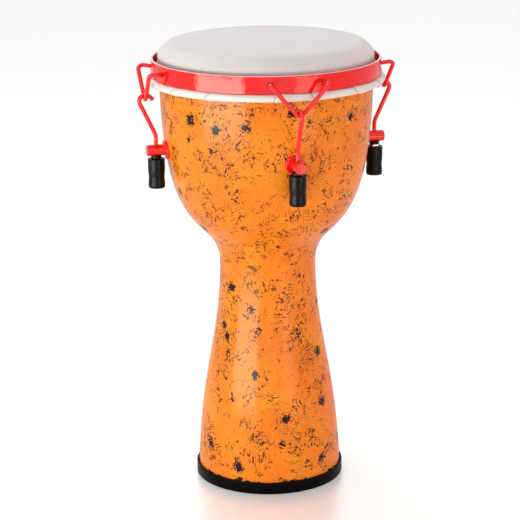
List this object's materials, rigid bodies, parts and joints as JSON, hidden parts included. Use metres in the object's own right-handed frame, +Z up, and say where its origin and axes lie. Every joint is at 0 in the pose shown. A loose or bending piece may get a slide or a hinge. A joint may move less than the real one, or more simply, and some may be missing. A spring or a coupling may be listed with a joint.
{
  "type": "djembe",
  "caption": "Goblet-shaped hand drum with a flat synthetic head, a red tuning hoop held by wire hooks and threaded rods, and a rubber foot ring.",
  "frame": {"origin": "centre of the foot on the floor", "axes": "+Z up along the drum's axis to the head; tuning stations on -Y (front), +X (right), +Y (back) and -X (left)"},
  "size_m": [0.309, 0.309, 0.533],
  "materials": {
    "lacquered_wood": "clear-lacquered orange with fine black speckle and scratches",
    "head_film": "finely textured matt film",
    "ring_steel": "bare steel",
    "red_enamel": "gloss red powder coat",
    "plated_steel": "bright zinc plate",
    "grip_rubber": "satin black",
    "foot_rubber": "satin black"
  },
  "bodies": {
    "drum": {"shell": "lacquered_wood", "foot_ring": "foot_rubber", "drum_head": "head_film", "lug_post_front": "red_enamel", "lug_post_right": "red_enamel", "lug_post_back": "red_enamel", "lug_post_left": "red_enamel", "lug_bolt_front": "plated_steel", "lug_bolt_right": "plated_steel", "lug_bolt_back": "plated_steel", "lug_bolt_left": "plated_steel", "lug_washer_front": "plated_steel", "lug_washer_right": "plated_steel", "lug_washer_back": "plated_steel", "lug_washer_left": "plated_steel"},
    "hoop": {"tuning_hoop": "red_enamel", "flesh_ring": "ring_steel", "head_rim": "head_film", "v_hook_front": "red_enamel", "v_hook_right": "red_enamel", "v_hook_back": "red_enamel", "v_hook_left": "red_enamel", "hook_rod_front": "red_enamel", "hook_rod_right": "red_enamel", "hook_rod_back": "red_enamel", "hook_rod_left": "red_enamel"},
    "nut_front": {"tuning_nut_front": "plated_steel", "nut_grip_front": "grip_rubber", "nut_washer_front": "grip_rubber"},
    "nut_right": {"tuning_nut_right": "plated_steel", "nut_grip_right": "grip_rubber", "nut_washer_right": "grip_rubber"},
    "nut_back": {"tuning_nut_back": "plated_steel", "nut_grip_back": "grip_rubber", "nut_washer_back": "grip_rubber"},
    "nut_left": {"tuning_nut_left": "plated_steel", "nut_grip_left": "grip_rubber", "nut_washer_left": "grip_rubber"}
  },
  "joints": [
    {"name": "hoop_slide", "type": "slide", "parent": "drum", "child": "hoop", "axis": [0, 0, 1], "range_m": [-0.006, 0.004]},
    {"name": "nut_front_spin", "type": "hinge", "parent": "drum", "child": "nut_front", "pos_m": [0, -0.1335, 0.3945], "axis": [0, 0, 1], "range_deg": [-1800, 2700]},
    {"name": "nut_right_spin", "type": "hinge", "parent": "drum", "child": "nut_right", "pos_m": [0.1335, 0, 0.3945], "axis": [0, 0, 1], "range_deg": [-1800, 2700]},
    {"name": "nut_back_spin", "type": "hinge", "parent": "drum", "child": "nut_back", "pos_m": [0, 0.1335, 0.3945], "axis": [0, 0, 1], "range_deg": [-1800, 2700]},
    {"name": "nut_left_spin", "type": "hinge", "parent": "drum", "child": "nut_left", "pos_m": [-0.1335, 0, 0.3945], "axis": [0, 0, 1], "range_deg": [-1800, 2700]}
  ],
  "couplings": [
    {"joint": "nut_front_spin", "follows": "hoop_slide", "rad_per_m": -7854},
    {"joint": "nut_right_spin", "follows": "hoop_slide", "rad_per_m": -7854},
    {"joint": "nut_back_spin", "follows": "hoop_slide", "rad_per_m": -7854},
    {"joint": "nut_left_spin", "follows": "hoop_slide", "rad_per_m": -7854}
  ]
}
